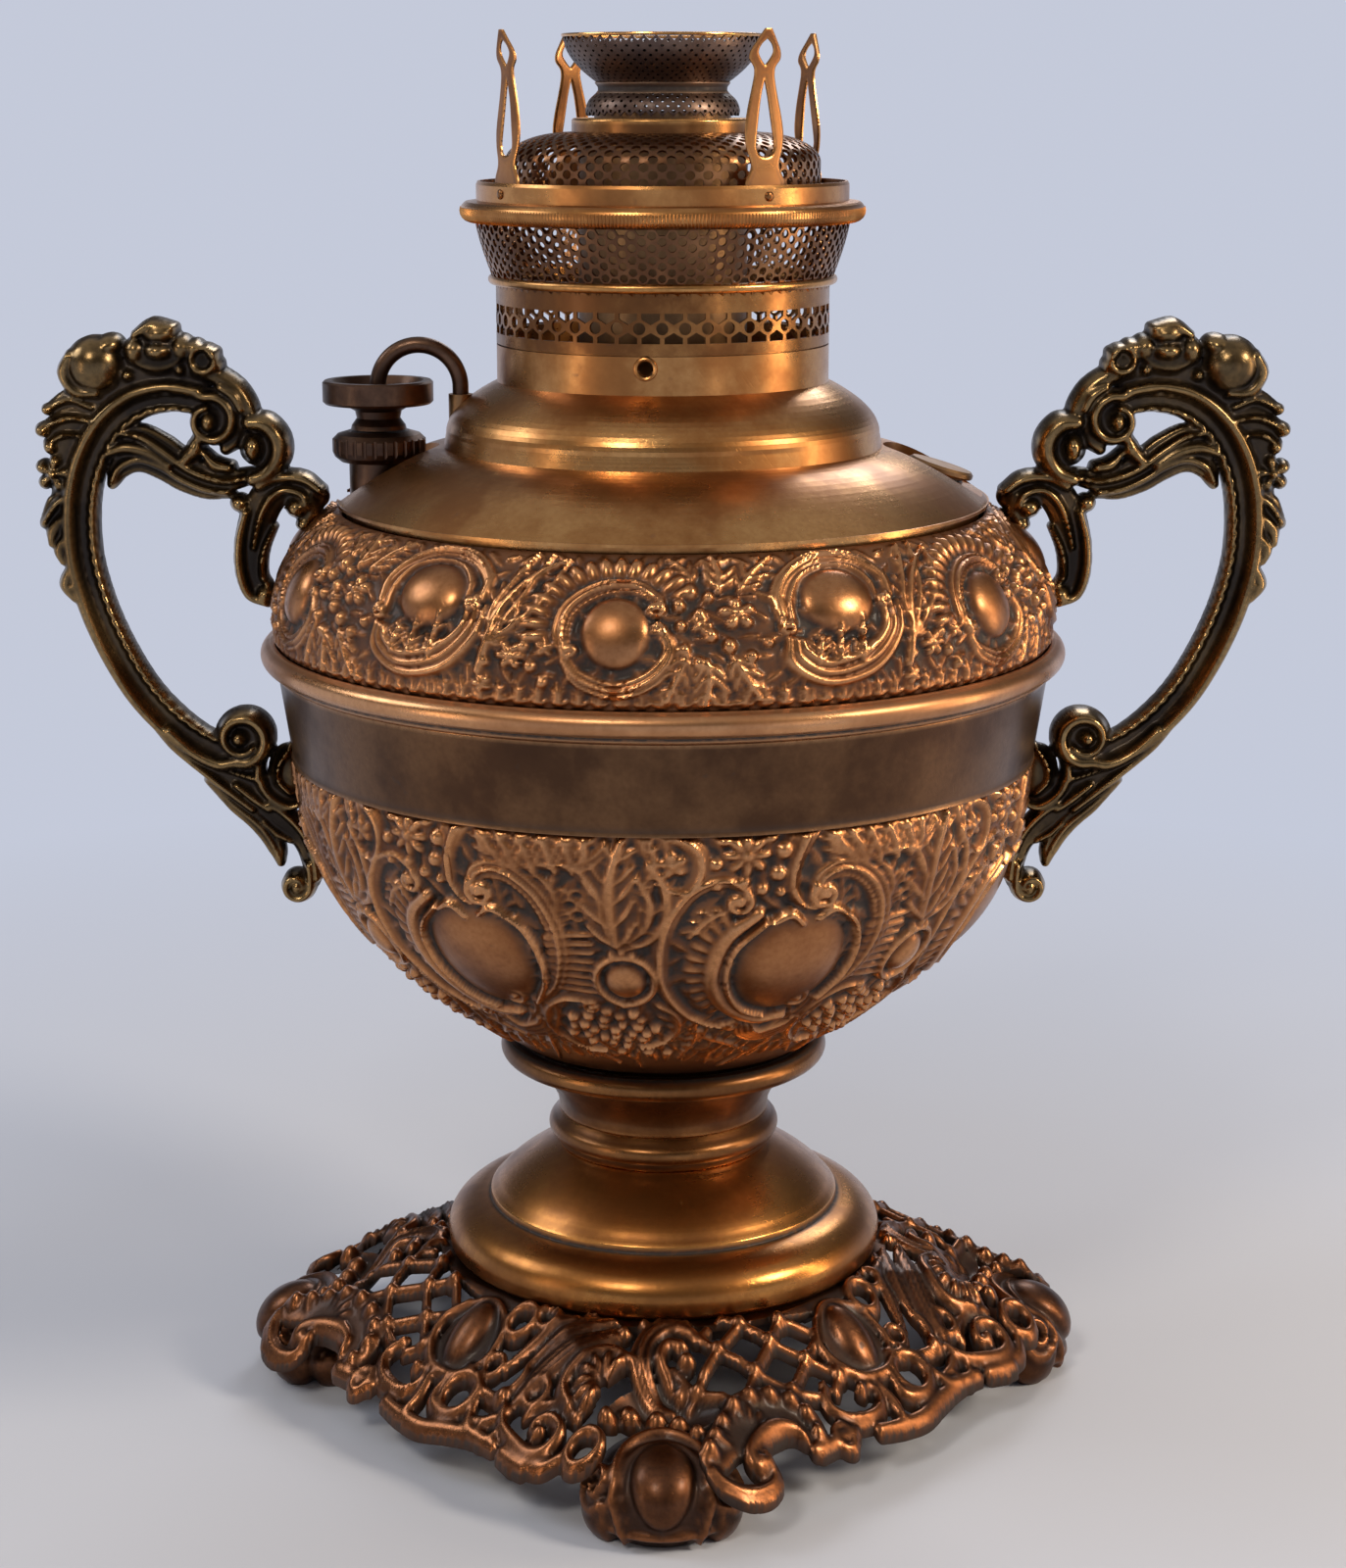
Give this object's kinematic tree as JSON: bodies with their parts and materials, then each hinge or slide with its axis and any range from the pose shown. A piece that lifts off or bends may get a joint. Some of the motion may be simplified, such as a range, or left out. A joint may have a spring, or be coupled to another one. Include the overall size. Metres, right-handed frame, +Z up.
{
  "type": "banquet lamp",
  "caption": "Centre-draught oil lamp with an embossed urn body, scroll handles, a lift-out fount with a wick raiser, a pronged chimney gallery and a pierced cast foot.",
  "frame": {"origin": "on the table surface, under the lamp's upright axis", "axes": "+Z up, X through the two handles with the wick raiser towards -X, -Y towards the front of the picture"},
  "size_m": [0.2536, 0.174, 0.2751],
  "materials": {
    "cast_foot": "dark bronze lacquer over a copper flash, rubbed bright on the edges",
    "pedestal_metal": "spun brass with a warm worn lacquer",
    "inner_metal": "plain dull brass",
    "embossed_copper": "embossed copper-coloured sheet, dark in the recesses",
    "band_metal": "brown polished brass",
    "handle_metal": "dark antique cast brass with bright high spots",
    "screw_metal": "plain brass",
    "fount_metal": "polished brass with light tarnish",
    "raiser_metal": "dark brown oxidised brass",
    "wick_fabric": "woven cotton, charred at the top edge",
    "washer_leather": "dark oiled leather",
    "burner_metal": "polished brass, browned by heat",
    "spreader_metal": "heat-darkened brass with soot"
  },
  "bodies": {
    "stand": {"foot_casting": "cast_foot", "pedestal_dome": "pedestal_metal", "stem_knop": "pedestal_metal", "bowl_collar": "pedestal_metal", "tie_tube": "inner_metal", "lower_ring_nut": "inner_metal", "upper_ring_nut": "inner_metal", "clamp_washer": "inner_metal", "lower_bowl": "embossed_copper", "waist_band": "band_metal", "bead_ring": "band_metal", "shoulder_shell": "embossed_copper", "left_handle": "handle_metal", "right_handle": "handle_metal", "handle_screws": "screw_metal"},
    "fount": {"fount_top": "fount_metal", "fount_bottom": "inner_metal", "draught_tube": "inner_metal", "wick_tube": "inner_metal", "neck_eyelet": "fount_metal", "raiser_post": "raiser_metal", "packing_nut": "raiser_metal", "rod_gland": "inner_metal", "filler_neck": "inner_metal"},
    "raiser_wheel": {"raiser_wheel": "raiser_metal"},
    "wick_lift": {"lift_rod": "raiser_metal", "carrier_arm": "inner_metal", "wick_carrier": "inner_metal", "wick": "wick_fabric"},
    "filler_washer": {"filler_washer": "washer_leather"},
    "filler_cap": {"filler_cap": "fount_metal"},
    "gallery": {"gallery_skirt": "burner_metal", "skirt_bead": "burner_metal", "flared_basket": "burner_metal", "gallery_ring": "burner_metal", "diffuser_dome": "burner_metal", "diffuser_collar": "burner_metal", "front_left_prong": "burner_metal", "front_right_prong": "burner_metal", "back_left_prong": "burner_metal", "back_right_prong": "burner_metal", "prong_rivets": "screw_metal"},
    "spreader": {"spreader_spigot": "spreader_metal", "spreader_bell": "spreader_metal", "spreader_bowl": "spreader_metal", "spreader_rim": "spreader_metal", "spreader_plate": "spreader_metal"}
  },
  "joints": [
    {"name": "fount_lift", "type": "slide", "parent": "stand", "child": "fount", "axis": [0, 0, 1], "range_m": [0, 0.095]},
    {"name": "raiser_turn", "type": "hinge", "parent": "fount", "child": "raiser_wheel", "pos_m": [-0.0562, 0, 0.203], "axis": [0, 0, 1], "range_deg": [0, 1441]},
    {"name": "wick_raise", "type": "slide", "parent": "fount", "child": "wick_lift", "axis": [0, 0, 1], "range_m": [0, 0.012]},
    {"name": "cap_lift", "type": "slide", "parent": "fount", "child": "filler_washer", "axis": [0.2924, 0, 0.9563], "range_m": [0, 0.0045]},
    {"name": "cap_turn", "type": "hinge", "parent": "filler_washer", "child": "filler_cap", "pos_m": [0.0545, 0, 0.1891], "axis": [0.2924, 0, 0.9563], "range_deg": [0, 1081]},
    {"name": "gallery_lift", "type": "slide", "parent": "fount", "child": "gallery", "axis": [0, 0, 1], "range_m": [0, 0.045]},
    {"name": "spreader_lift", "type": "slide", "parent": "gallery", "child": "spreader", "axis": [0, 0, 1], "range_m": [0, 0.025]}
  ],
  "couplings": [
    {"joint": "raiser_turn", "follows": "wick_raise", "rad_per_m": 2094.4},
    {"joint": "cap_turn", "follows": "cap_lift", "rad_per_m": 4188.8}
  ]
}
